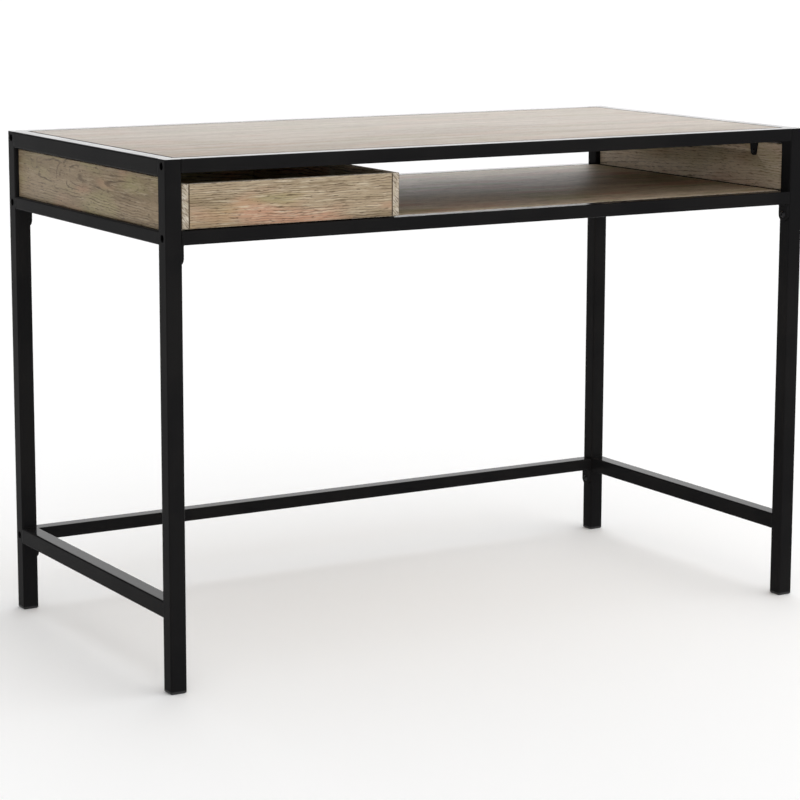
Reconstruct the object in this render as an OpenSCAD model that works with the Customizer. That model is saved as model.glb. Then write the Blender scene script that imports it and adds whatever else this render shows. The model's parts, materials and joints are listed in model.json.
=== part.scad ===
// Writing desk: black square-tube frame, inset wood boards and one open-topped drawer.
// The origin is on the floor at the middle of the desk. X runs along the front,
// from left to right, Y from front to back, and Z up. Lengths are in millimetres.

/* [Desk] */
// Overall width along the front
desk_w = 1120; // [1000:10:1400]
// Overall depth from front to back
desk_d = 560; // [550:10:700]
// Height of the desk top above the floor
desk_h = 760; // [720:5:790]
// How far the shelf's upper face lies below the desk top
shelf_drop = 100; // [95:5:150]

/* [Frame tubes] */
// Width of every square tube
tube_w = 25; // [25:1:30]
// Wall thickness of the tubes
tube_wall = 1.5; // [1:0.1:2]
// Outer corner radius of the tubes
tube_r = 2.5; // [2.2:0.1:4]
// Height of the long rails and of the side lower rails
rail_h = 20; // [18:1:22]
// Height of the back stretcher's axis above the floor
stretcher_z = 120; // [90:5:200]

/* [Boards] */
// Thickness of the top and of the shelf
board_t = 15; // [12:1:16]
// Thickness of the side panels
side_panel_t = 12; // [8:1:13]
// How far the side panels lie behind the frame's outer face
side_panel_recess = 6; // [2:1:8]
// Gap round the boards inside the frame
board_gap = 2; // [0.5:0.1:2.5]

/* [Drawer] */
// Outer width of the drawer
drawer_w = 350; // [280:5:420]
// Outer depth of the drawer
drawer_d = 440; // [400:5:450]
// Height of the drawer's boards
drawer_h = 63; // [55:1:65]
// Thickness of the drawer's boards
drawer_t = 12; // [10:1:15]
// Gap between the drawer and the frame at its left
drawer_side_gap = 1.5; // [1:0.5:5]
// How far the drawer's front lies behind the frame's front
drawer_recess = 5; // [2:1:10]
// How far the drawer slides out
drawer_travel = 295; // [200:5:295]

/* [Hidden] */
$fn = 48;
cut = 1;            // how far a cutting solid runs past the faces that it cuts

// Frame
shelf_z = desk_h - shelf_drop;
leg_x = desk_w / 2 - tube_w / 2;
leg_y = desk_d / 2 - tube_w / 2;
inner_x = desk_w / 2 - tube_w;
inner_y = desk_d / 2 - tube_w;
top_rail_z = desk_h - rail_h / 2;
lower_rail_z = shelf_z - rail_h / 2;

// End plates, and the tongues that hang from them
plate_t = 3;
tongue_w = 22;
tongue_drop = 27;   // from the rail's axis down to the tongue bolt

// Feet
foot_flange_t = 4;
foot_chamfer = 1.5;
plug_h = 20;
plug_play = 0.1;
plug_wall = 2;

// Bolts of the frame, M6
bolt_r = 3;
thread_play = 0.05;
bolt_hole_r = 3.25;
bolt_head_r = 5;
bolt_head_h = 6;
bolt_grip = 16;     // from the washer to the bolt's tip
socket_r = 2.9;
socket_depth = 3;
access_hole_r = 5.5;
washer_r = 6;
washer_t = 1.5;
weld_nut_r = 5.8;
weld_nut_h = 5;
button_head_h = 3.3;
button_head_r = 5.25;
button_crown_r = 3.05;
button_socket_r = 2.3;
button_socket_depth = 2;
tongue_bolt_l = 14;
rivet_nut_r = 4.5;
rivet_nut_l = 12;
rivet_bulb_r = 6.2;
rivet_bulb_l = 3;

// Wood screws
screw_r = 1.75;
screw_head_r = 3.5;
screw_head_h = 2;
screw_crown_r = 2.6; // flat top of a pan head
screw_hole_r = 2.2;  // clearance in a steel tab
drive_l = 4;         // cross recess in a pan head
drive_w = 0.8;
drive_floor = 0.8;

// Lugs under the boards, tabs behind the side panels and pins below them
lug_t = 3;
lug_w = 26;
lug_reach = 22;
lug_hole_in = 14;
lug_screw_l = 14;
long_rail_lugs = [-380, 0, 380];
tab_t = 2.5;
tab_top_w = 20;
tab_end_r = 7;
tab_step = 0.2;     // where the tapered sides meet the round end
tab_drop = 25;
tab_inset = 101;    // from the desk's front or back to a tab's middle
tab_y = desk_d / 2 - tab_inset;
tab_screw_l = 11;
pin_r = 3;
pin_h = 10;
pin_y = 180;
pin_play = 0.2;
panel_x = desk_w / 2 - side_panel_recess - side_panel_t / 2;

// Drawer box
drawer_x0 = -inner_x + drawer_side_gap;
drawer_x = drawer_x0 + drawer_w / 2;
drawer_y0 = -desk_d / 2 + drawer_recess;
drawer_y1 = drawer_y0 + drawer_d;
run_gap = 0.1;
pad_t = 1.4;
pad_l = 30;
pad_w = 10;
pad_r = 3;
pad_inset = 10;
drawer_z = shelf_z + run_gap + pad_t;
bottom_t = 4;
bottom_lift = 8;
bottom_z = drawer_z + bottom_lift;
groove_depth = 5;
groove_play = 0.1;
drawer_screw_l = 38;
drawer_screw_lift = [20, 48];
drawer_screw_z = [for (lift = drawer_screw_lift) drawer_z + lift];

// Guide under the drawer
guide_w = 18;
guide_h = 7;
shoe_w = 40;
shoe_l = 14;
shoe_play = 0.5;
shoe_h = 7.4;
shoe_screw_l = 22;
notch_w = 24;
stop_l = 12;
stop_play = 2;
rear_play = 0.3;
shoe_y0 = drawer_y1 - drawer_t - shoe_l;
guide_y0 = shoe_y0 - drawer_travel - stop_play;
guide_y1 = drawer_y1 + rear_play;
guide_screw_l = 17;
guide_screw_inset = 25;
guide_screw_y = [guide_y0 + guide_screw_inset, (guide_y0 + guide_y1) / 2, guide_y1 - guide_screw_inset];
stop_screw_x = shoe_w / 3;

// Colours
steel = "#1f1f22";
oak = "#b5a084";
oak_edge = "#a8977f";
zinc = "#9a9c9f";
black_zinc = "#2b2b2d";
plastic = "#161617";
nylon = "#d9d6cc";
hardboard = "#5a4a3a";

ENDS = ["front", "back"];
SIDES = ["left", "right"];
LONG_RAILS = ["front_top_rail", "back_top_rail", "front_lower_rail", "back_lower_rail", "back_stretcher"];

// Which way a side or an end lies: left and front are -1, right and back are 1
function sign_of(name) = name == "left" || name == "front" ? -1 : 1;

// Each long rail's end (front or back), the height of its axis, and whether it has tongues
function rail_end(rail) = rail[0] == "f" ? -1 : 1;
function rail_z(rail) =
    rail == "back_stretcher" ? stretcher_z
    : rail == "front_top_rail" || rail == "back_top_rail" ? top_rail_z
    : lower_rail_z;
function has_tongue(rail) = rail_z(rail) != top_rail_z;
function rails_at(end) = [for (rail = LONG_RAILS) if (rail_end(rail) == end) rail];
function tongue_rails_at(end) = [for (rail = rails_at(end)) if (has_tongue(rail)) rail];

// ---- Shared shapes ----

// Rectangle with round corners, centred on the origin
module rounded_rect(w, h, r) {
    square([w - 2 * r, h], center = true);
    square([w, h - 2 * r], center = true);
    for (x = [-1, 1], y = [-1, 1])
        translate([x * (w / 2 - r), y * (h / 2 - r)])
            circle(r);
}

module tube_outline(w, h) {
    difference() {
        rounded_rect(w, h, tube_r);
        tube_bore_outline(w, h);
    }
}

module tube_bore_outline(w, h) {
    rounded_rect(w - 2 * tube_wall, h - 2 * tube_wall, tube_r - tube_wall);
}

// Tube along X, centred on the origin
module tube_along_x(length, h) {
    rotate([90, 0, 90])
        linear_extrude(length, center = true)
            tube_outline(tube_w, h);
}

// Tube along Y, centred on the origin
module tube_along_y(length, h) {
    rotate([90, 0, 0])
        linear_extrude(length, center = true)
            tube_outline(tube_w, h);
}

// Box between two corners
module block(low, high) {
    translate(low)
        cube(high - low);
}

// Points a child's +Z along X, towards the given side
module along_x(dir) {
    rotate([0, dir * 90, 0])
        children();
}

module each_rail_end() {
    for (rail = LONG_RAILS, side = [-1, 1])
        translate([side * inner_x, rail_end(rail) * leg_y, rail_z(rail)])
            along_x(side)
                children();
}

module each_tongue_bolt() {
    for (rail = LONG_RAILS, side = [-1, 1])
        if (has_tongue(rail))
            translate([side * inner_x, rail_end(rail) * leg_y, rail_z(rail) - tongue_drop])
                along_x(side)
                    children();
}

// Countersunk screw whose head's top is at the origin and whose shank runs along -Z
module countersunk_screw(length, play = 0) {
    translate([0, 0, -screw_head_h])
        cylinder(h = screw_head_h, r1 = screw_r + play, r2 = screw_head_r + play);
    translate([0, 0, -length])
        cylinder(h = length - screw_head_h, r = screw_r + play);
}

// Screw with a low round head that sits on the origin, its shank along -Z
module pan_screw(length) {
    difference() {
        cylinder(h = screw_head_h, r1 = screw_head_r, r2 = screw_crown_r);
        translate([0, 0, drive_floor])
            for (turn = [0, 90])
                rotate(turn)
                    translate([-drive_l / 2, -drive_w / 2, 0])
                        cube([drive_l, drive_w, screw_head_h]);
    }
    translate([0, 0, -length])
        cylinder(h = length, r = screw_r);
}

module screw_pilot(length) {
    translate([0, 0, -length])
        cylinder(h = length + cut, r = screw_r + thread_play);
}

// ---- Frame ----

// Upright tube, closed on top, drilled for the rail bolts and the rivet nuts
module leg(side, end) {
    color(steel)
        translate([side * leg_x, end * leg_y, 0])
            difference() {
                translate([0, 0, foot_flange_t])
                    linear_extrude(desk_h - foot_flange_t)
                        rounded_rect(tube_w, tube_w, tube_r);
                translate([0, 0, foot_flange_t - cut])
                    linear_extrude(desk_h - tube_wall - foot_flange_t + cut)
                        tube_bore_outline(tube_w, tube_w);
                for (rail = rails_at(end)) {
                    wall_hole(side, rail_z(rail), access_hole_r);
                    wall_hole(-side, rail_z(rail), bolt_hole_r);
                }
                for (rail = tongue_rails_at(end))
                    wall_hole(-side, rail_z(rail) - tongue_drop, rivet_nut_r + thread_play);
            }
}

// Hole through one wall of a leg
module wall_hole(side, z, r) {
    translate([side * (tube_w / 2 - tube_wall / 2), 0, z])
        along_x(1)
            cylinder(h = tube_wall + 2 * cut, r = r, center = true);
}

// Plastic plug in a leg's lower end, with a flange that stands on the floor
module foot(side, end) {
    color(plastic)
        translate([side * leg_x, end * leg_y, 0]) {
            hull() {
                linear_extrude(foot_chamfer)
                    rounded_rect(tube_w - 2 * foot_chamfer, tube_w - 2 * foot_chamfer, tube_r);
                translate([0, 0, foot_chamfer])
                    linear_extrude(foot_flange_t - foot_chamfer)
                        rounded_rect(tube_w, tube_w, tube_r);
            }
            translate([0, 0, foot_flange_t])
                linear_extrude(plug_h)
                    plug_outline();
        }
}

module plug_outline() {
    w = tube_w - 2 * tube_wall - 2 * plug_play;
    difference() {
        rounded_rect(w, w, tube_r - tube_wall);
        rounded_rect(w - 2 * plug_wall, w - 2 * plug_wall, tube_r - tube_wall);
    }
}

module side_top_rail(side) {
    color(steel)
        translate([side * leg_x, 0, desk_h - tube_w / 2])
            tube_along_y(2 * inner_y, tube_w);
}

module side_lower_rail(side) {
    color(steel)
        translate([side * leg_x, 0, lower_rail_z])
            tube_along_y(2 * inner_y, rail_h);
}

module side_stretcher(side) {
    color(steel)
        translate([side * leg_x, 0, stretcher_z])
            tube_along_y(2 * inner_y, tube_w);
}

module long_rail(rail) {
    color(steel)
        translate([0, rail_end(rail) * leg_y, rail_z(rail)])
            tube_along_x(2 * inner_x - 2 * plate_t, rail_h);
}

// Plate welded on the end of a long rail, with a weld nut behind it.
// Where the rail has a tongue, it hangs down against the leg and ends in a round.
module end_plate(rail, side) {
    tongue = has_tongue(rail);
    color(steel)
        translate([side * (inner_x - plate_t), rail_end(rail) * leg_y, rail_z(rail)])
            difference() {
                union() {
                    rotate([90, 0, 90])
                        translate([0, 0, side > 0 ? 0 : -plate_t])
                            linear_extrude(plate_t)
                                end_plate_outline(tongue);
                    along_x(-side)
                        cylinder(h = weld_nut_h, r = weld_nut_r, $fn = 6);
                }
                along_x(1)
                    cylinder(h = 2 * (weld_nut_h + cut), r = bolt_r + thread_play, center = true);
                if (tongue)
                    translate([0, 0, -tongue_drop])
                        along_x(1)
                            cylinder(h = 2 * (plate_t + cut), r = bolt_hole_r, center = true);
            }
}

module end_plate_outline(tongue) {
    rounded_rect(tube_w, rail_h, tube_r);
    if (tongue) {
        translate([-tongue_w / 2, -tongue_drop])
            square([tongue_w, tongue_drop]);
        translate([0, -tongue_drop])
            circle(tongue_w / 2);
    }
}

// Socket-head bolts that go in through the legs' outer faces and clamp their inner walls
module rail_bolts() {
    color(black_zinc)
        each_rail_end()
            translate([0, 0, tube_wall + washer_t]) {
                translate([0, 0, -bolt_grip])
                    cylinder(h = bolt_grip, r = bolt_r);
                difference() {
                    cylinder(h = bolt_head_h, r = bolt_head_r);
                    translate([0, 0, bolt_head_h - socket_depth])
                        cylinder(h = socket_depth + cut, r = socket_r, $fn = 6);
                }
            }
}

module rail_bolt_washers() {
    color(zinc)
        each_rail_end()
            translate([0, 0, tube_wall])
                difference() {
                    cylinder(h = washer_t, r = washer_r);
                    translate([0, 0, -cut])
                        cylinder(h = washer_t + 2 * cut, r = bolt_hole_r);
                }
}

// Button-head bolts that fasten the tongues to the legs
module tongue_bolts() {
    color(black_zinc)
        each_tongue_bolt()
            translate([0, 0, -plate_t]) {
                cylinder(h = tongue_bolt_l, r = bolt_r);
                difference() {
                    translate([0, 0, -button_head_h])
                        cylinder(h = button_head_h, r1 = button_crown_r, r2 = button_head_r);
                    translate([0, 0, -button_head_h - cut])
                        cylinder(h = cut + button_socket_depth, r = button_socket_r, $fn = 6);
                }
            }
}

// Rivet nuts set flush in the legs' inner walls
module rivet_nuts() {
    color(zinc)
        each_tongue_bolt()
            difference() {
                union() {
                    cylinder(h = rivet_nut_l, r = rivet_nut_r);
                    translate([0, 0, tube_wall])
                        cylinder(h = rivet_bulb_l, r = rivet_bulb_r);
                }
                translate([0, 0, -cut])
                    cylinder(h = rivet_nut_l + 2 * cut, r = bolt_r + thread_play);
            }
}

// ---- Boards ----

// Where the lugs of one layer stand: [x, y, turn], the turn pointing the lug inwards
function lug_places() = concat(
    [for (x = long_rail_lugs) [x, -inner_y, 0]],
    [for (x = long_rail_lugs) [x, inner_y, 180]],
    [[-inner_x, 0, -90], [inner_x, 0, 90]]
);

module each_lug(under) {
    for (place = lug_places())
        translate([place[0], place[1], under - board_t - lug_t])
            rotate(place[2])
                children();
}

// Plate that stands out from a rail under a board; the origin is at the rail's face
module lug() {
    corner_r = 5;
    difference() {
        linear_extrude(lug_t)
            union() {
                translate([-lug_w / 2, 0])
                    square([lug_w, lug_reach - corner_r]);
                translate([-lug_w / 2 + corner_r, 0])
                    square([lug_w - 2 * corner_r, lug_reach]);
                for (x = [-1, 1])
                    translate([x * (lug_w / 2 - corner_r), lug_reach - corner_r])
                        circle(corner_r);
            }
        translate([0, lug_hole_in, -cut])
            cylinder(h = lug_t + 2 * cut, r = screw_hole_r);
    }
}

module lugs(under) {
    color(steel)
        each_lug(under)
            lug();
}

module lug_screws() {
    color(zinc)
        for (under = [desk_h, shelf_z])
            each_lug(under)
                translate([0, lug_hole_in, 0])
                    rotate([180, 0, 0])
                        pan_screw(lug_screw_l);
}

// Board that fills the frame, its upper face level with the rails
module inset_board(top_z) {
    difference() {
        block([-inner_x + board_gap, -inner_y + board_gap, top_z - board_t],
              [inner_x - board_gap, inner_y - board_gap, top_z]);
        each_lug(top_z)
            translate([0, lug_hole_in, lug_t])
                rotate([180, 0, 0])
                    screw_pilot(lug_screw_l - lug_t);
    }
}

module top_panel() {
    color(oak)
        inset_board(desk_h);
}

module shelf_panel() {
    color(oak)
        difference() {
            inset_board(shelf_z);
            each_guide_screw()
                screw_pilot(guide_screw_l);
        }
}

// Board in the end frame, between the legs and the side rails
module side_panel(side) {
    half_d = inner_y - board_gap;
    color(oak)
        difference() {
            block([side * panel_x - side_panel_t / 2, -half_d, shelf_z],
                  [side * panel_x + side_panel_t / 2, half_d, desk_h - tube_w - board_gap]);
            for (end = [-1, 1]) {
                translate([side * panel_x, end * pin_y, shelf_z - cut])
                    cylinder(h = pin_h + 2 * cut, r = pin_r + pin_play);
                panel_tab_place(side, end)
                    screw_pilot(tab_screw_l - tab_t);
            }
        }
}

// Pins welded on the side lower rails, in holes in the panels' lower edges
module panel_pins() {
    color(zinc)
        for (side = [-1, 1], end = [-1, 1])
            translate([side * panel_x, end * pin_y, shelf_z])
                cylinder(h = pin_h, r = pin_r);
}

// Places a tab and its screw: the origin is where the screw enters the panel, -Z points into it
module panel_tab_place(side, end) {
    translate([side * (panel_x - side_panel_t / 2), end * tab_y, desk_h - tube_w - tab_drop + tab_end_r])
        along_x(-side)
            children();
}

// Outline of a tab, its wide end towards +X and its narrow end round
module panel_tab_outline() {
    stem = tab_drop - tab_end_r;
    circle(tab_end_r);
    polygon([[0, -tab_end_r + tab_step],
             [stem, -tab_top_w / 2],
             [stem, tab_top_w / 2],
             [0, tab_end_r - tab_step]]);
}

// Tapered tab that hangs from a side top rail behind the panel
module panel_tab(side, end) {
    color(steel)
        panel_tab_place(side, end)
            difference() {
                rotate(side > 0 ? 0 : 180)
                    linear_extrude(tab_t)
                        panel_tab_outline();
                translate([0, 0, -cut])
                    cylinder(h = tab_t + 2 * cut, r = screw_hole_r);
            }
}

module panel_tab_screws() {
    color(black_zinc)
        for (side = [-1, 1], end = [-1, 1])
            panel_tab_place(side, end)
                translate([0, 0, tab_t])
                    pan_screw(tab_screw_l);
}

// ---- Guide under the drawer ----

module each_guide_screw() {
    for (y = guide_screw_y)
        translate([drawer_x, y, shelf_z + guide_h])
            children();
    for (y = [guide_y0 - stop_l / 2, guide_y1 + stop_l / 2], x = [-1, 1])
        translate([drawer_x + x * stop_screw_x, y, shelf_z + guide_h])
            children();
}

// Strip on the shelf that the drawer's shoe runs along
module guide_rail() {
    color(nylon)
        difference() {
            block([drawer_x - guide_w / 2, guide_y0, shelf_z],
                  [drawer_x + guide_w / 2, guide_y1, shelf_z + guide_h]);
            each_guide_screw()
                countersunk_screw(guide_screw_l, thread_play);
        }
}

// Block across an end of the guide rail; low_y is its front face
module guide_stop(low_y) {
    color(plastic)
        difference() {
            block([drawer_x - shoe_w / 2, low_y, shelf_z],
                  [drawer_x + shoe_w / 2, low_y + stop_l, shelf_z + guide_h]);
            each_guide_screw()
                countersunk_screw(guide_screw_l, thread_play);
        }
}

module guide_screws() {
    color(zinc)
        each_guide_screw()
            countersunk_screw(guide_screw_l);
}

// ---- Drawer ----

module bottom_groove() {
    inset = drawer_t - groove_depth;
    block([drawer_x0 + inset, drawer_y0 + inset, bottom_z - groove_play],
          [drawer_x0 + drawer_w - inset, drawer_y1 - inset, bottom_z + bottom_t + groove_play]);
}

// Screws through the sides into the ends of the front and of the back
module each_drawer_screw() {
    for (side = [-1, 1], y = [drawer_y0 + drawer_t / 2, drawer_y1 - drawer_t / 2], z = drawer_screw_z)
        translate([drawer_x + side * drawer_w / 2, y, z])
            along_x(side)
                children();
}

module drawer_side(side) {
    x = drawer_x + side * (drawer_w / 2 - drawer_t / 2);
    color(oak_edge)
        difference() {
            block([x - drawer_t / 2, drawer_y0, drawer_z],
                  [x + drawer_t / 2, drawer_y1, drawer_z + drawer_h]);
            bottom_groove();
            each_drawer_screw()
                countersunk_screw(drawer_screw_l, thread_play);
        }
}

// Board between the drawer's sides, its front face at low_y
module drawer_cross_board(low_y) {
    half_w = drawer_w / 2 - drawer_t;
    difference() {
        block([drawer_x - half_w, low_y, drawer_z],
              [drawer_x + half_w, low_y + drawer_t, drawer_z + drawer_h]);
        bottom_groove();
        each_drawer_screw()
            countersunk_screw(drawer_screw_l, thread_play);
    }
}

module drawer_front() {
    color(oak)
        drawer_cross_board(drawer_y0);
}

// The back is notched over the guide rail
module drawer_back() {
    color(oak_edge)
        difference() {
            drawer_cross_board(drawer_y1 - drawer_t);
            block([drawer_x - notch_w / 2, drawer_y1 - drawer_t - cut, drawer_z - cut],
                  [drawer_x + notch_w / 2, drawer_y1 + cut, bottom_z - groove_play]);
            each_shoe_screw()
                screw_pilot(shoe_screw_l);
        }
}

module drawer_bottom() {
    inset = drawer_t - groove_depth + groove_play;
    color(hardboard)
        block([drawer_x0 + inset, drawer_y0 + inset, bottom_z],
              [drawer_x0 + drawer_w - inset, drawer_y1 - inset, bottom_z + bottom_t]);
}

module drawer_screws() {
    color(zinc)
        each_drawer_screw()
            countersunk_screw(drawer_screw_l);
}

// Low pads under the sides, on which the drawer slides over the shelf
module drawer_glide_pads() {
    color(nylon)
        for (side = [-1, 1], y = [drawer_y0 + pad_inset, drawer_y1 - pad_inset - pad_l])
            translate([drawer_x + side * (drawer_w / 2 - drawer_t / 2), y + pad_l / 2, drawer_z - pad_t])
                linear_extrude(pad_t)
                    rounded_rect(pad_w, pad_l, pad_r);
}

// Screws that run back through the shoe's cheeks into the drawer's back
module each_shoe_screw() {
    for (side = [-1, 1])
        translate([drawer_x + side * (shoe_w + guide_w) / 4, shoe_y0, drawer_z + shoe_h / 2])
            rotate([90, 0, 0])
                children();
}

// Bridge over the guide rail, with a cheek on each side of it
module guide_shoe() {
    channel_w = guide_w + 2 * shoe_play;
    channel_top = shelf_z + guide_h + shoe_play;
    color(plastic)
        difference() {
            block([drawer_x - shoe_w / 2, shoe_y0, drawer_z],
                  [drawer_x + shoe_w / 2, shoe_y0 + shoe_l, drawer_z + shoe_h]);
            block([drawer_x - channel_w / 2, shoe_y0 - cut, drawer_z - cut],
                  [drawer_x + channel_w / 2, shoe_y0 + shoe_l + cut, channel_top]);
            each_shoe_screw()
                countersunk_screw(shoe_screw_l, thread_play);
        }
}

module guide_shoe_screws() {
    color(zinc)
        each_shoe_screw()
            countersunk_screw(shoe_screw_l);
}

// ---- Nodes ----

module if_node(name) {
    children();
}

for (side = SIDES, end = ENDS) {
    if_node(str(side, "_", end, "_leg")) leg(sign_of(side), sign_of(end));
    if_node(str(side, "_", end, "_foot")) foot(sign_of(side), sign_of(end));
    if_node(str(side, "_", end, "_panel_tab")) panel_tab(sign_of(side), sign_of(end));
}
for (side = SIDES) {
    if_node(str(side, "_top_rail")) side_top_rail(sign_of(side));
    if_node(str(side, "_lower_rail")) side_lower_rail(sign_of(side));
    if_node(str(side, "_stretcher")) side_stretcher(sign_of(side));
    if_node(str(side, "_side_panel")) side_panel(sign_of(side));
    if_node(str("drawer_", side, "_side")) drawer_side(sign_of(side));
}
for (rail = LONG_RAILS) {
    if_node(rail) long_rail(rail);
    for (side = SIDES)
        if_node(str(rail, "_", side, "_end_plate")) end_plate(rail, sign_of(side));
}
rail_bolts();
rail_bolt_washers();
tongue_bolts();
rivet_nuts();
top_panel();
shelf_panel();
lugs(desk_h);  // top_lugs
lugs(shelf_z);  // shelf_lugs
lug_screws();
panel_pins();
panel_tab_screws();
guide_rail();
guide_stop(guide_y0 - stop_l);  // guide_front_stop
guide_stop(guide_y1);  // guide_rear_stop
guide_screws();
drawer_front();
drawer_back();
drawer_bottom();
drawer_screws();
drawer_glide_pads();
guide_shoe();
guide_shoe_screws();
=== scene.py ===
"""Finished look of the writing desk: oak boards and an open-topped drawer in a steel frame."""
import json
import math

import bmesh
import bpy
from mathutils import Matrix, Vector


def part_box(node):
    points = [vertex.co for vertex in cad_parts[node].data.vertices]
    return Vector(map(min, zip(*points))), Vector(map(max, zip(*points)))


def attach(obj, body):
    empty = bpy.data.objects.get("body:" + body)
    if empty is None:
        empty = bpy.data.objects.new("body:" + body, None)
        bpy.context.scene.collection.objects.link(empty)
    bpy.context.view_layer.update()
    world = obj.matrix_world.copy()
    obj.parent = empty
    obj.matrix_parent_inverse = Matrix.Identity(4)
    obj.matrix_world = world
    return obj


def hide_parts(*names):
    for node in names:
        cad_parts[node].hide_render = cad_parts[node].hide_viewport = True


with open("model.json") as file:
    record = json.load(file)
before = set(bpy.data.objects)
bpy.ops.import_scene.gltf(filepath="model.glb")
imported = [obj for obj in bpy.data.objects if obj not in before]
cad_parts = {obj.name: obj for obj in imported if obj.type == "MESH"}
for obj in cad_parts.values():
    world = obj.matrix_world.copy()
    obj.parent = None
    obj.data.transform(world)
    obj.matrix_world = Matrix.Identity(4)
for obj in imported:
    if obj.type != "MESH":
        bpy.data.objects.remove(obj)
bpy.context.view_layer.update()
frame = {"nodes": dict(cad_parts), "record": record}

MM = 0.001
AXIS = {"X": 0, "Y": 1, "Z": 2}

# Camera: where the eye stands, which way it looks and how long its lens is
EYE = Vector((-2.105, -3.500, 1.091))
YAW = math.radians(30.81)
PITCH = math.radians(-9.52)
ROLL = math.radians(0.16)
LENS = 117.2
SENSOR = 36.0
SHIFT_Y = -0.06

# Studio: the sky's strength, which dims towards DIM_WAY; a bright band behind the desk, about
# BAND_WAY; and a glow low on the left, which reaches in between the boards. Each range says where
# a change begins and where it ends, as a cosine or as one coordinate of the direction.
FLOOR_HALF = 60.0
SKY = 1.32
DIM_SHARE = 0.12
DIM_WAY = Vector((-0.94, 0.34, 0.0)).normalized()
DIM_RANGE = (-0.05, 0.75)
BAND = 1.35
BAND_WAY = Vector((0.47, 0.80, 0.37)).normalized()
BAND_RANGE = (0.90, 0.985)
LEFT_GLOW = 3.2
GLOW_HEIGHT = (0.02, 0.10)
GLOW_LEFT = (-0.9, -0.3)

# Boards: how far their edges are rounded, and how their faces and edges are told apart
EDGE_ROUND = 0.7 * MM
TOP_ROUND = 0.4 * MM
JOINT_ROUND = 1.1 * MM
BOTTOM_ROUND = 0.3 * MM
ROUND_STEPS = 3
MERGE = 0.001 * MM
LONG_EDGE = 20 * MM
CORNER_PLAY = 0.01 * MM
FLAT_ANGLE = 0.01
SHARP = math.radians(30)
FACING = 0.9
UPRIGHT = 0.1
SQUARE_ON = 0.97
FACE, BAND_EDGE, JOINT = range(3)

# Welds: how big a bead is, how it ripples and swells, and the steps that beads and seams are cut into
BEAD = 2.2 * MM
BEAD_RIPPLE = 0.16
BEAD_PITCH = 1.9 * MM
BEAD_START = 0.45
BEAD_SWELL = 4
BEAD_HOLLOW = 0.18
BEAD_STEPS = 48
BEAD_ARC = 7
TUBE_ROUND = 2.5 * MM
SEAM_ARC = 8
WELD_SHARP = math.radians(50)

# Oak decor: how many marks go into a metre along the grain, across it and through it
STREAKS = (2.2, 34, 34)
FIBRES = (26, 420, 420)
DASHES = (58, 330, 330)
PORES = (95, 1250, 1250)
BREAKS = (16, 60, 60)
PINK_PATCHES = (7, 20, 20)
OLIVE_PATCHES = (6, 19, 19)
OLIVE_SHIFT = (4, 7, 2)
SEED_SHIFT = (1.7, 2.3, 0.9)
STROKES = (240, 90, 700)
STROKE_SLANT = (0.8, 0, 0)
KNOT_STRETCH = 0.6

# How the rings sway: marks to a metre in each direction, and the size from trough to crest
SWAYS = [((3, 12, 12), 20 * MM), ((14, 45, 45), 7 * MM), ((60, 150, 150), 2.6 * MM)]


def tint(red, green, blue):
    """A screen colour from 0 to 255, as the linear colour that a shader takes."""
    def linear(part):
        share = part / 255
        return share / 12.92 if share <= 0.04045 else ((share + 0.055) / 1.055) ** 2.4
    return (linear(red), linear(green), linear(blue), 1.0)


# Colours of the coats, the floor, the drawer's joints and the hardboard; linear where tint isn't used.
# The joints' colours are painted shade for the gap between the drawer's boards
COAT_THICK = (0.0090, 0.0088, 0.0092, 1)
COAT_THIN = (0.0118, 0.0113, 0.0113, 1)
COAT_WORN = (0.055, 0.053, 0.052, 1)
WELD_THICK = (0.004, 0.004, 0.0044, 1)
WELD_THIN = (0.009, 0.0088, 0.0086, 1)
FLOOR_GREY = (0.985, 0.985, 0.985, 1)
FLOOR_WHITE = (1.0, 1.0, 1.0, 1)
JOINT_SHADE_DARK = tint(58, 46, 34)
JOINT_SHADE_LIGHT = tint(112, 94, 72)
FIBRE_DARK = tint(122, 95, 68)
FIBRE_LIGHT = tint(130, 102, 74)
FIBRE_FLECK = tint(84, 62, 44)


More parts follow.
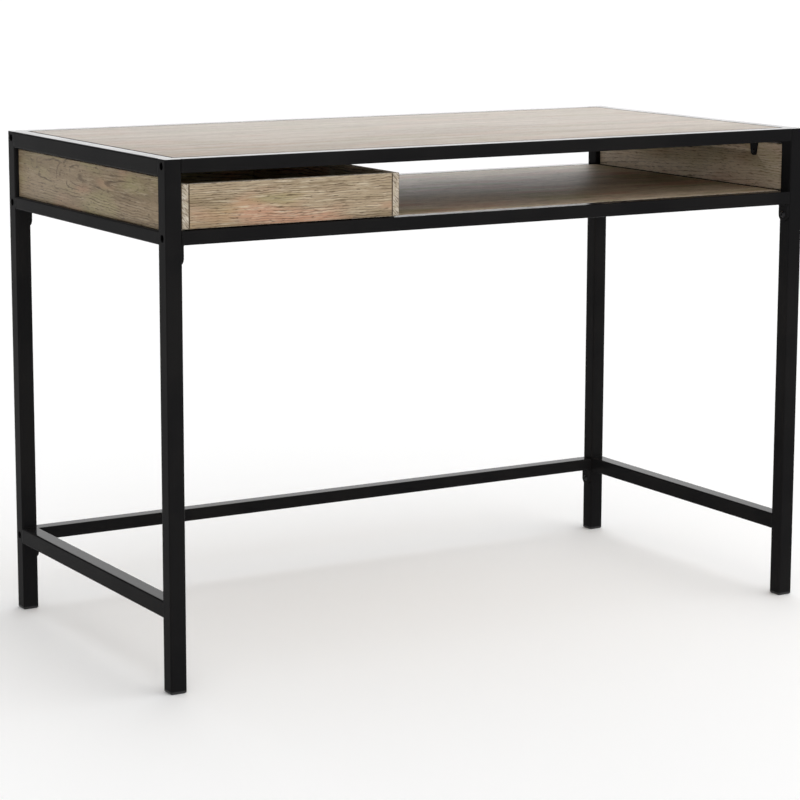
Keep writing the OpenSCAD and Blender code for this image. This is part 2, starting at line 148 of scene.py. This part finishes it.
class Sketch:
    """A node tree, with a short call for each kind of node that the materials and the sky use."""

    def __init__(self, owner, place):
        owner.use_nodes = True
        self.owner = owner
        self.tree = owner.node_tree
        self.place = self.tree.nodes.new("ShaderNodeTexCoord").outputs[place]

    def node(self, kind, inputs, **settings):
        made = self.tree.nodes.new(kind)
        for name, value in settings.items():
            setattr(made, name, value)
        for key, value in inputs.items():
            self.feed(made.inputs[key], value)
        return made

    def feed(self, socket, value):
        if isinstance(value, bpy.types.NodeSocket):
            self.tree.links.new(value, socket)
        else:
            socket.default_value = value

    def math(self, operation, first, second=0.0):
        return self.node("ShaderNodeMath", {0: first, 1: second}, operation=operation).outputs[0]

    def add(self, *values):
        total = values[0]
        for value in values[1:]:
            total = self.math("ADD", total, value)
        return total

    def times(self, first, second):
        return self.math("MULTIPLY", first, second)

    def dot(self, first, second):
        made = self.node("ShaderNodeVectorMath", {0: first, 1: second}, operation="DOT_PRODUCT")
        return made.outputs["Value"]

    def parts(self, place):
        """The three coordinates of a place, by number or by axis name."""
        return self.node("ShaderNodeSeparateXYZ", {0: place}).outputs

    def stretched(self, place, scale, shift=(0, 0, 0)):
        inputs = {"Vector": place, "Location": shift, "Scale": scale}
        return self.node("ShaderNodeMapping", inputs).outputs[0]

    def turned(self, place, angles):
        return self.node("ShaderNodeMapping", {"Vector": place, "Rotation": angles}).outputs[0]

    def noise(self, place, scale=1.0, detail=2.0, roughness=0.5, distortion=0.0):
        inputs = {"Vector": place, "Scale": scale, "Detail": detail}
        inputs.update({"Roughness": roughness, "Distortion": distortion})
        return self.node("ShaderNodeTexNoise", inputs).outputs[0]

    def marks(self, place, scale, shift=(0, 0, 0), **noise):
        """Noise drawn out into marks; scale is how many go into a metre in each direction."""
        return self.noise(self.stretched(place, scale, shift), **noise)

    def sway(self, place, scale, size):
        """Noise about zero, size from trough to crest."""
        return self.times(self.math("SUBTRACT", self.marks(place, scale), 0.5), size)

    def ease(self, value, low, high, start=0.0, end=1.0):
        """Goes smoothly from start to end while value goes from low to high."""
        inputs = {0: value, 1: low, 2: high, 3: start, 4: end}
        return self.node("ShaderNodeMapRange", inputs, interpolation_type="SMOOTHSTEP").outputs[0]

    def mix(self, share, first, second):
        """The first colour where share is 0, the second where it is 1."""
        inputs = {0: share, 6: first, 7: second}
        return self.node("ShaderNodeMix", inputs, data_type="RGBA").outputs[2]


class Finish(Sketch):
    """One material; fixed names the shader sockets that hold a single number all over."""

    def __init__(self, name, **fixed):
        super().__init__(bpy.data.materials.new(name), "Object")
        self.shader = self.tree.nodes["Principled BSDF"]
        for socket, value in fixed.items():
            self.shader.inputs[socket.replace("_", " ")].default_value = value

    def bump(self, height, strength, depth):
        inputs = {"Height": height, "Strength": strength, "Distance": depth}
        self.feed(self.shader.inputs["Normal"], self.node("ShaderNodeBump", inputs).outputs[0])

    def edge(self, radius):
        """From 0 on a flat face to 1 on an outer edge no wider than radius."""
        soft = self.node("ShaderNodeBevel", {"Radius": radius}, samples=4).outputs[0]
        plain = self.tree.nodes.new("ShaderNodeNewGeometry").outputs["Normal"]
        return self.ease(self.dot(soft, plain), 0.99, 0.80)

    def made(self, colour, roughness):
        self.feed(self.shader.inputs["Base Color"], colour)
        self.feed(self.shader.inputs["Roughness"], roughness)
        return self.owner


def powder_coat():
    """Satin black powder coat: a fine orange peel, thinner and greyer along the edges."""
    skin = Finish("powder_coat", IOR=1.07)
    peel = skin.noise(skin.place, scale=750)
    swell = skin.noise(skin.place, scale=90)
    cloud = skin.noise(skin.place, scale=9, detail=3)
    rubbed = skin.ease(skin.noise(skin.place, scale=160, detail=3), 0.42, 0.62)
    worn = skin.times(skin.edge(radius=0.8 * MM), rubbed)
    colour = skin.mix(skin.ease(cloud, 0.35, 0.65), COAT_THICK, COAT_THIN)
    colour = skin.mix(skin.times(worn, 0.35), colour, COAT_WORN)
    sheen = skin.ease(cloud, 0.3, 0.7, 0.13, 0.17)
    skin.bump(skin.add(peel, skin.times(swell, 1.5)), strength=0.10, depth=0.1 * MM)
    return skin.made(colour, skin.add(sheen, skin.times(swell, 0.04), skin.times(worn, 0.15)))


def weld_coat():
    """The same coat over a weld: thicker and rougher in the ripples."""
    skin = Finish("weld_coat", IOR=1.10)
    grit = skin.noise(skin.place, scale=1100, detail=3)
    cloud = skin.noise(skin.place, scale=60)
    skin.bump(grit, strength=0.25, depth=0.15 * MM)
    return skin.made(skin.mix(cloud, WELD_THICK, WELD_THIN), skin.ease(cloud, 0.3, 0.7, 0.36, 0.48))


def grain_place(skin, look):
    """A point's place along and across its board's grain, from the board's middle, and the place
    that the decor is drawn from, which the look's seed moves."""
    low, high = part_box(look["node"])
    middle = (low + high) / 2
    parts = skin.parts(skin.stretched(skin.place, (1, 1, 1), tuple(-middle)))
    along, across, through = (parts[AXIS[axis]] for axis in look["axes"])
    lie = skin.node("ShaderNodeCombineXYZ", {0: along, 1: across, 2: through}).outputs[0]
    shift = tuple(step * look["seed"] for step in SEED_SHIFT)
    return along, across, skin.stretched(lie, (1, 1, 1), shift)


def knot_lift(skin, along, across, knots):
    """How far the rings are pushed aside by each knot: (along, across, radius, push)."""
    total = 0.0
    for knot_along, knot_across, radius, push in knots:
        off_along = skin.times(skin.math("SUBTRACT", along, knot_along), KNOT_STRETCH / radius)
        off_across = skin.times(skin.math("SUBTRACT", across, knot_across), 1 / radius)
        reach = skin.add(skin.times(off_along, off_along), skin.times(off_across, off_across))
        lift = skin.times(skin.math("EXPONENT", skin.times(reach, -1.0)), push)
        total = skin.add(total, lift)
    return total


def oak_rings(skin, look, along, across, lie):
    """Bands of the growth rings, from 0 to 1, arched where the heart of the tree is near."""
    sway = skin.add(*(skin.sway(lie, scale, size) for scale, size in SWAYS))
    from_heart = skin.add(across, sway, -look["heart"])
    depth = skin.add(skin.times(along, look["taper"]), look["depth"])
    squares = skin.add(skin.times(from_heart, from_heart), skin.times(depth, depth))
    radius = skin.math("SQRT", squares)
    radius = skin.add(radius, knot_lift(skin, along, across, look["knots"]))
    turn = skin.times(radius, 2 * math.pi / look["ring"])
    return skin.add(skin.times(skin.math("SINE", turn), 0.5), 0.5)


def oak_marks(skin, look):
    """Where each mark of the decor lies, from 0 to 1; fibre is the bare noise of the fibres."""
    along, across, lie = grain_place(skin, look)
    rings = oak_rings(skin, look, along, across, lie)
    unbroken = skin.ease(skin.marks(lie, BREAKS), 0.38, 0.62, 0.15, 1.0)
    dashes = skin.ease(skin.marks(lie, DASHES, roughness=0.55, distortion=0.6), 0.54, 0.66)
    return {
        "streak": skin.ease(skin.marks(lie, STREAKS, detail=3), 0.34, 0.66),
        "pink": skin.ease(skin.marks(lie, PINK_PATCHES, detail=1), 0.50, 0.66),
        "olive": skin.ease(skin.marks(lie, OLIVE_PATCHES, OLIVE_SHIFT, detail=1), 0.50, 0.66),
        "fibre": skin.marks(lie, FIBRES, detail=3, roughness=0.6),
        "line": skin.times(skin.ease(rings, 0.80, 1.0), unbroken),
        "dash": skin.times(dashes, skin.ease(rings, 0.1, 0.9, 0.35, 1.0)),
        "pore": skin.ease(skin.marks(lie, PORES, detail=1), 0.60, 0.70),
    }


def oak_face(look):
    """Weathered-oak laminate: rings, streaks, dashes, pores, and pink and olive patches."""
    skin = Finish("oak_" + look["node"], IOR=look["ior"])
    mark = oak_marks(skin, look)
    bleach = skin.ease(mark["fibre"], 0.48, 0.70)
    layers = [(mark["pink"], "pink_share", "pink"), (mark["olive"], "olive_share", "olive"),
              (bleach, "bleach_share", "bleached"), (mark["line"], "line_share", "line"),
              (mark["dash"], "dash_share", "line"), (mark["pore"], "pore_share", "line")]
    colour = skin.mix(mark["streak"], look["dark"], look["pale"])
    for cover, share, tone in layers:
        colour = skin.mix(skin.times(cover, look[share]), colour, look[tone])
    heights = {"line": -0.5, "dash": -0.5, "pore": -0.6, "fibre": 0.4}
    relief = skin.add(*(skin.times(mark[name], height) for name, height in heights.items()))
    skin.bump(relief, strength=0.35, depth=0.12 * MM)
    sheen = skin.ease(mark["fibre"], 0.3, 0.7, look["rough"] - 0.05, look["rough"] + 0.05)
    return skin.made(colour, skin.add(sheen, skin.times(mark["pore"], 0.1)))


def oak_edge(look):
    """Edge band in the look's own band colours, with fine slanting strokes across the edge."""
    skin = Finish("band_" + look["node"], IOR=1.3)
    lie = grain_place(skin, look)[-1]
    strokes = skin.marks(skin.turned(lie, STROKE_SLANT), STROKES)
    blotch = skin.noise(lie, scale=90)
    colour = skin.mix(skin.ease(blotch, 0.3, 0.7), look["band_dark"], look["band"])
    colour = skin.mix(skin.ease(strokes, 0.48, 0.60, 0, 0.7), colour, look["line"])
    skin.bump(strokes, strength=0.3, depth=0.1 * MM)
    return skin.made(colour, skin.ease(strokes, 0.3, 0.7, 0.42, 0.56))


def joint_line(look):
    """The darkened rounding where two boards of the drawer meet: painted shade, dark colours that
    stand in for the shadow in the joint.
    """
    skin = Finish("joint_" + look["node"], IOR=1.3)
    shade_mottle = skin.marks(skin.place, (300, 300, 900), detail=3, roughness=0.6)
    colour = skin.mix(skin.ease(shade_mottle, 0.35, 0.65), JOINT_SHADE_DARK, JOINT_SHADE_LIGHT)
    skin.bump(shade_mottle, strength=0.3, depth=0.1 * MM)
    return skin.made(colour, skin.ease(shade_mottle, 0.3, 0.7, 0.55, 0.7))


def hardboard():
    """Drawer bottom: pressed brown fibres, smooth on top."""
    skin = Finish("hardboard_fibre", Specular_IOR_Level=0.35)
    fleck = skin.marks(skin.place, (420, 900, 420), detail=3, roughness=0.65)
    cloud = skin.noise(skin.place, scale=45, detail=3)
    colour = skin.mix(skin.ease(cloud, 0.3, 0.7), FIBRE_DARK, FIBRE_LIGHT)
    colour = skin.mix(skin.ease(fleck, 0.52, 0.70, 0, 0.5), colour, FIBRE_FLECK)
    skin.bump(fleck, strength=0.2, depth=0.1 * MM)
    return skin.made(colour, skin.ease(fleck, 0.3, 0.7, 0.44, 0.6))


def moulded(name, low, high, rough):
    """Moulded plastic: a fine spark-eroded texture, and scuffs that break the sheen."""
    skin = Finish(name, Specular_IOR_Level=0.45)
    texture = skin.noise(skin.place, scale=2600)
    scuff = skin.marks(skin.place, (60, 400, 160), detail=3)
    skin.bump(texture, strength=0.22, depth=0.08 * MM)
    colour = skin.mix(skin.ease(scuff, 0.4, 0.7), low, high)
    return skin.made(colour, skin.ease(scuff, 0.35, 0.7, rough, rough + 0.14))


def plated(name, low, high, metallic, rough):
    """Plated steel: faint patches in the plating and fine tool marks."""
    skin = Finish(name, Metallic=metallic)
    patch = skin.noise(skin.place, scale=420)
    scratches = skin.marks(skin.place, (3000, 3000, 500), detail=1)
    skin.bump(scratches, strength=0.12, depth=0.05 * MM)
    colour = skin.mix(skin.ease(patch, 0.35, 0.65), low, high)
    return skin.made(colour, skin.ease(patch, 0.3, 0.7, rough, rough + 0.12))


def floor_material():
    """Matt pale studio floor."""
    skin = Finish("studio_floor", Specular_IOR_Level=0.0)
    cloud = skin.noise(skin.place, scale=0.6)
    return skin.made(skin.mix(cloud, FLOOR_GREY, FLOOR_WHITE), skin.ease(cloud, 0.3, 0.7, 0.85, 0.95))


def camera():
    """Stands at EYE and looks along YAW and PITCH; the shift only moves the desk up in the frame."""
    level = math.cos(PITCH)
    ahead = Vector((math.sin(YAW) * level, math.cos(YAW) * level, math.sin(PITCH)))
    right = Vector((math.cos(YAW), -math.sin(YAW), 0))
    up = right.cross(ahead)
    across = right * math.cos(ROLL) + up * math.sin(ROLL)
    above = up * math.cos(ROLL) - right * math.sin(ROLL)
    lens = bpy.data.cameras.new("camera")
    lens.lens = LENS
    lens.sensor_width = SENSOR
    lens.shift_y = SHIFT_Y
    lens.clip_end = 2 * FLOOR_HALF
    made = bpy.data.objects.new("camera", lens)
    turn = Matrix((across, above, -ahead)).transposed().to_4x4()
    made.matrix_world = Matrix.Translation(EYE) @ turn
    bpy.context.scene.collection.objects.link(made)
    bpy.context.scene.camera = made


def sky():
    """Soft studio light from all round, as the studio's constants describe it."""
    world = bpy.data.worlds.new("studio")
    bpy.context.scene.world = world
    light = Sketch(world, "Generated")
    dimming = light.ease(light.dot(light.place, DIM_WAY), *DIM_RANGE, SKY, DIM_SHARE * SKY)
    band = light.ease(light.dot(light.place, BAND_WAY), *BAND_RANGE, 0.0, BAND)
    way = light.parts(light.place)
    low_share = light.ease(way["Z"], *GLOW_HEIGHT, LEFT_GLOW, 0.0)
    glow = light.times(low_share, light.ease(way["X"], *GLOW_LEFT, 1.0, 0.0))
    background = light.tree.nodes["Background"]
    background.inputs["Color"].default_value = (1, 1, 1, 1)
    light.feed(background.inputs["Strength"], light.add(dimming, band, glow))


def new_piece(name, mesh, body):
    """Puts a piece with this mesh into the scene, on its body."""
    piece = bpy.data.objects.new(name, mesh)
    bpy.context.scene.collection.objects.link(piece)
    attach(piece, body)
    return piece


def floor():
    """One wide pale sheet under the desk."""
    mesh = bpy.data.meshes.new("floor")
    corners = [(-1, -1), (1, -1), (1, 1), (-1, 1)]
    mesh.from_pydata([(x * FLOOR_HALF, y * FLOOR_HALF, 0) for x, y in corners], [], [(0, 1, 2, 3)])
    mesh.materials.append(floor_material())
    made = bpy.data.objects.new("floor", mesh)
    bpy.context.scene.collection.objects.link(made)


def joins_corners(edge, lows, highs):
    """True on an edge that runs between two corners of the box from lows to highs."""
    def at_corner(vert):
        sides = zip(vert.co, lows, highs)
        return all(min(abs(at - low), abs(at - high)) < CORNER_PLAY for at, low, high in sides)
    return all(at_corner(vert) for vert in edge.verts)


def rounded_copy(node, radius):
    """The node's own shape with its long sharp edges and its box's short edges rounded off."""
    shape = bmesh.new()
    shape.from_mesh(frame["nodes"][node].data)
    bmesh.ops.remove_doubles(shape, verts=shape.verts, dist=MERGE)
    bmesh.ops.dissolve_limit(shape, angle_limit=FLAT_ANGLE, verts=shape.verts, edges=shape.edges)
    lows = [min(vert.co[i] for vert in shape.verts) for i in range(3)]
    highs = [max(vert.co[i] for vert in shape.verts) for i in range(3)]
    long = [e for e in shape.edges if e.calc_length() > LONG_EDGE and e.calc_face_angle(0) > SHARP]
    short = [e for e in shape.edges if e not in long and joins_corners(e, lows, highs)]
    bmesh.ops.bevel(shape, geom=long + short, offset=radius, segments=ROUND_STEPS, affect="EDGES",
                    profile=0.5, clamp_overlap=True)
    return shape


def is_upright_rounding(normal):
    """True on the rounding of an upright edge."""
    return abs(normal.z) < UPRIGHT and max(abs(normal.x), abs(normal.y)) < SQUARE_ON


def surface_kind(normal, look):
    """Which of a board's surfaces a face belongs to: FACE, BAND_EDGE or JOINT."""
    if look["joint_lines"] and is_upright_rounding(normal):
        return JOINT
    through = AXIS[look["axes"][2]]
    return FACE if abs(normal[through]) > FACING else BAND_EDGE


def board(look, body):
    """A board with rounded edges: laminate on its two faces, edge band on the rest."""
    shape = rounded_copy(look["node"], look["round"])
    for face in shape.faces:
        face.smooth = True
        face.material_index = surface_kind(face.normal, look)
    mesh = bpy.data.meshes.new(look["node"] + "_board")
    shape.to_mesh(mesh)
    shape.free()
    mesh.set_sharp_from_angle(angle=SHARP)
    mesh.materials.append(oak_face(look))
    mesh.materials.append(oak_edge(look))
    if look["joint_lines"]:
        mesh.materials.append(joint_line(look))
    piece = new_piece(look["node"] + "_board", mesh, body)
    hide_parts(look["node"])


def drawer_bottom():
    """The hardboard sheet in the drawer, with its edges just broken."""
    shape = rounded_copy("drawer_bottom", BOTTOM_ROUND)
    mesh = bpy.data.meshes.new("drawer_bottom_sheet")
    shape.to_mesh(mesh)
    shape.free()
    mesh.materials.append(hardboard())
    piece = new_piece("drawer_bottom_sheet", mesh, "drawer")
    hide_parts("drawer_bottom")


def bead_ring(middle, size, side_a, side_b):
    """The bead's outline at one place: its corner, then a slightly hollow arc from side to side."""
    ring = [middle]
    for index in range(BEAD_ARC + 1):
        angle = math.pi / 2 * index / BEAD_ARC
        reach = size * (1 - BEAD_HOLLOW + BEAD_HOLLOW * abs(math.cos(2 * angle)))
        ring.append(middle + side_a * (reach * math.cos(angle)) + side_b * (reach * math.sin(angle)))
    return ring


def skinned(shape, rings):
    """Joins rings of as many points each into one closed skin."""
    rings = [[shape.verts.new(point) for point in ring] for ring in rings]
    count = len(rings[0])
    for before, after in zip(rings, rings[1:]):
        for index in range(count):
            follow = (index + 1) % count
            shape.faces.new((before[index], before[follow], after[follow], after[index]))
    shape.faces.new(rings[0])
    shape.faces.new(rings[-1])


def bead(shape, start, end, side_a, side_b):
    """A rippled fillet weld from start to end, in the corner between side_a and side_b."""
    run = end - start
    rings = []
    for step in range(BEAD_STEPS + 1):
        share = step / BEAD_STEPS
        ripple = 1 + BEAD_RIPPLE * abs(math.sin(math.pi * share * run.length / BEAD_PITCH))
        swell = min(1, BEAD_START + BEAD_SWELL * min(share, 1 - share))
        rings.append(bead_ring(start + run * share, BEAD * ripple * swell, side_a, side_b))
    skinned(shape, rings)


def seam(shape, low, high, corner, out, back):
    """Ground weld that fills the groove beside a leg's rounded corner, from height low to high."""
    base = Vector((corner[0], corner[1], 0))
    outline = [base]
    for index in range(SEAM_ARC + 1):
        angle = math.pi / 2 * index / SEAM_ARC
        inwards = back * (TUBE_ROUND * (1 - math.sin(angle)))
        outline.append(base + inwards - out * (TUBE_ROUND * (1 - math.cos(angle))))
    skinned(shape, [[point + Vector((0, 0, height)) for point in outline] for height in (low, high)])


def weld_piece(name, shape, material):
    """Turns welds into one smooth piece on the frame."""
    bmesh.ops.recalc_face_normals(shape, faces=shape.faces)
    for face in shape.faces:
        face.smooth = True
    mesh = bpy.data.meshes.new(name)
    shape.to_mesh(mesh)
    shape.free()
    mesh.set_sharp_from_angle(angle=WELD_SHARP)
    mesh.materials.append(material)
    new_piece(name, mesh, "frame")


def end_frame_welds(side, material):
    """Beads above and below the welded rails of one end frame, and the ground seams on its faces."""
    shape = bmesh.new()
    stretcher_low, stretcher_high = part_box(side + "_stretcher")
    rail_low, rail_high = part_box(side + "_lower_rail")
    top_low, top_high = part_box(side + "_top_rail")
    up = Vector((0, 0, 1))
    for end in (-1, 1):
        leg_face = stretcher_low.y if end < 0 else stretcher_high.y
        away = Vector((0, -end, 0))
        for height, way in ((stretcher_low.z, -up), (stretcher_high.z, up), (rail_low.z, -up)):
            start = Vector((stretcher_low.x + TUBE_ROUND, leg_face, height))
            finish = Vector((stretcher_high.x - TUBE_ROUND, leg_face, height))
            bead(shape, start, finish, away, way)
        for low, high in ((stretcher_low, stretcher_high), (rail_low, rail_high), (top_low, top_high)):
            for x, out in ((low.x, Vector((-1, 0, 0))), (high.x, Vector((1, 0, 0)))):
                seam(shape, low.z + TUBE_ROUND, high.z - TUBE_ROUND, (x, leg_face), out, -away)
    weld_piece(side + "_end_frame_welds", shape, material)


def tongue_welds(material):
    """A bead under each long rail, where its end plate's tongue hangs down."""
    shape = bmesh.new()
    for rail in ("front_lower_rail", "back_lower_rail", "back_stretcher"):
        low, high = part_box(rail)
        for x, away in ((low.x, Vector((1, 0, 0))), (high.x, Vector((-1, 0, 0)))):
            start = Vector((x, low.y + TUBE_ROUND, low.z))
            finish = Vector((x, high.y - TUBE_ROUND, low.z))
            bead(shape, start, finish, away, Vector((0, 0, -1)))
    weld_piece("tongue_welds", shape, material)


# What every board starts from. The shares say how strongly each mark is drawn, and ring is the width
# of one growth ring. The tree's heart lies heart across the board from its middle and depth below it,
# and taper is how fast that depth changes along the grain.
OAK = {
    "pale": tint(176, 157, 129), "dark": tint(150, 131, 104), "bleached": tint(200, 186, 162),
    "line": tint(82, 64, 46), "pink": tint(182, 140, 114), "olive": tint(150, 142, 100),
    "band": tint(200, 190, 174), "band_dark": tint(172, 159, 138),
    "pink_share": 0.75, "olive_share": 0.7, "bleach_share": 0.6,
    "line_share": 0.75, "dash_share": 0.72, "pore_share": 0.45,
    "rough": 0.46, "ior": 1.32, "ring": 4.0 * MM, "heart": 0.0, "taper": 0.05, "depth": 0.05,
    "knots": [], "round": EDGE_ROUND, "slot": "oak_board", "joint_lines": False,
}

# The top's decor is greyer and calmer. Its edge band is painted dark, as painted shade for the shadow
# line in the gap between the top and the rails
TOP = {
    "pale": tint(175, 163, 150), "dark": tint(155, 143, 130), "bleached": tint(188, 178, 167),
    "pink": tint(170, 147, 131), "olive": tint(154, 148, 128),
    # painted shade: these dark band colours stand in for the shadow in the gap beside the rails
    "band": tint(58, 50, 43), "band_dark": tint(38, 33, 29),
    "line_share": 0.35, "dash_share": 0.3, "pore_share": 0.3, "bleach_share": 0.35,
    "pink_share": 0.45, "olive_share": 0.4, "ior": 1.16, "round": TOP_ROUND,
}

# The shelf's tints are raised as painted light, to brighten it in the shade under the top
SHELF = {
    "pale": tint(200, 181, 156), "dark": tint(178, 158, 133), "bleached": tint(220, 207, 187),
    "rough": 0.54, "ior": 1.30,
}

# The left side panel is the darkest board, with two knots
LEFT = {
    "pale": tint(149, 130, 103), "dark": tint(124, 106, 80), "bleached": tint(173, 158, 134),
    "knots": [(0.085, 0.014, 0.014, 0.008), (0.19, 0.018, 0.012, 0.005)],
}

# The right side panel is the palest: its tints are raised as painted light, to brighten its inner face
# in the shade under the top
RIGHT = {
    "pale": tint(206, 188, 164), "dark": tint(190, 171, 147), "bleached": tint(220, 207, 187),
    "line_share": 0.5, "dash_share": 0.5, "pink_share": 0.35, "olive_share": 0.3, "bleach_share": 0.4,
}

DRAWER = {"round": JOINT_ROUND, "slot": "drawer_board", "joint_lines": True}

# The drawer's front has the strongest patches
FRONT = {
    **DRAWER, "pale": tint(173, 155, 129), "dark": tint(142, 125, 99),
    "pink_share": 0.9, "olive_share": 0.85, "bleach_share": 0.75,
}

# Each board's body, node, axes (along the grain, across it and through it), look and rings
BOARDS = [
    ("frame", "top_panel", "XYZ", TOP,
     {"seed": 3, "heart": 0.31, "ring": 9 * MM, "taper": 0.02, "depth": 0.10}),
    ("frame", "shelf_panel", "XYZ", SHELF,
     {"seed": 8, "heart": -0.34, "ring": 8 * MM, "taper": 0.03, "depth": 0.10}),
    ("frame", "left_side_panel", "YZX", LEFT,
     {"seed": 5, "heart": 0.012, "ring": 3 * MM, "taper": 0.03, "depth": 0.03}),
    ("frame", "right_side_panel", "YZX", RIGHT, {"seed": 12, "heart": -0.05, "depth": 0.03}),
    ("drawer", "drawer_front", "XZY", FRONT,
     {"seed": 21, "heart": 0.09, "ring": 3.3 * MM, "taper": 0.03, "depth": 0.04}),
    ("drawer", "drawer_back", "XZY", DRAWER, {"seed": 26, "heart": -0.08}),
    ("drawer", "drawer_left_side", "YZX", DRAWER, {"seed": 31, "heart": 0.07}),
    ("drawer", "drawer_right_side", "YZX", DRAWER, {"seed": 37, "heart": -0.07}),
]


def slot_finishes():
    """The finish of each material slot whose CAD nodes still show."""
    return {
        "frame_steel": powder_coat(),
        "foot_plastic": moulded("foot_plastic_moulded", tint(20, 20, 21), tint(32, 32, 33), 0.46),
        "guide_plastic": moulded("guide_plastic_moulded", tint(24, 24, 25), tint(36, 36, 37), 0.40),
        "nylon": moulded("nylon_moulded", tint(222, 217, 203), tint(232, 228, 216), 0.48),
        "black_fastener": plated("black_zinc", tint(26, 26, 28), tint(40, 39, 40), 0.75, 0.34),
        "zinc_fastener": plated("bright_zinc", tint(178, 178, 174), tint(204, 202, 194), 1.0, 0.24),
    }


def finish_nodes(finishes):
    """Gives each CAD node that still shows the finish of its material slot."""
    for entry in frame["record"]["subparts"]:
        slot = entry["material_slot"]
        if slot in finishes:
            mesh = frame["nodes"][entry["node"]].data
            mesh.materials.clear()
            mesh.materials.append(finishes[slot])


camera()
sky()
floor()
finish_nodes(slot_finishes())
for body, node, axes, look, rings in BOARDS:
    board({**OAK, "node": node, "axes": axes, **look, **rings}, body)
drawer_bottom()
weld = weld_coat()
for side in ("left", "right"):
    end_frame_welds(side, weld)
tongue_welds(weld)
bpy.context.scene.view_settings.view_transform = "Standard"
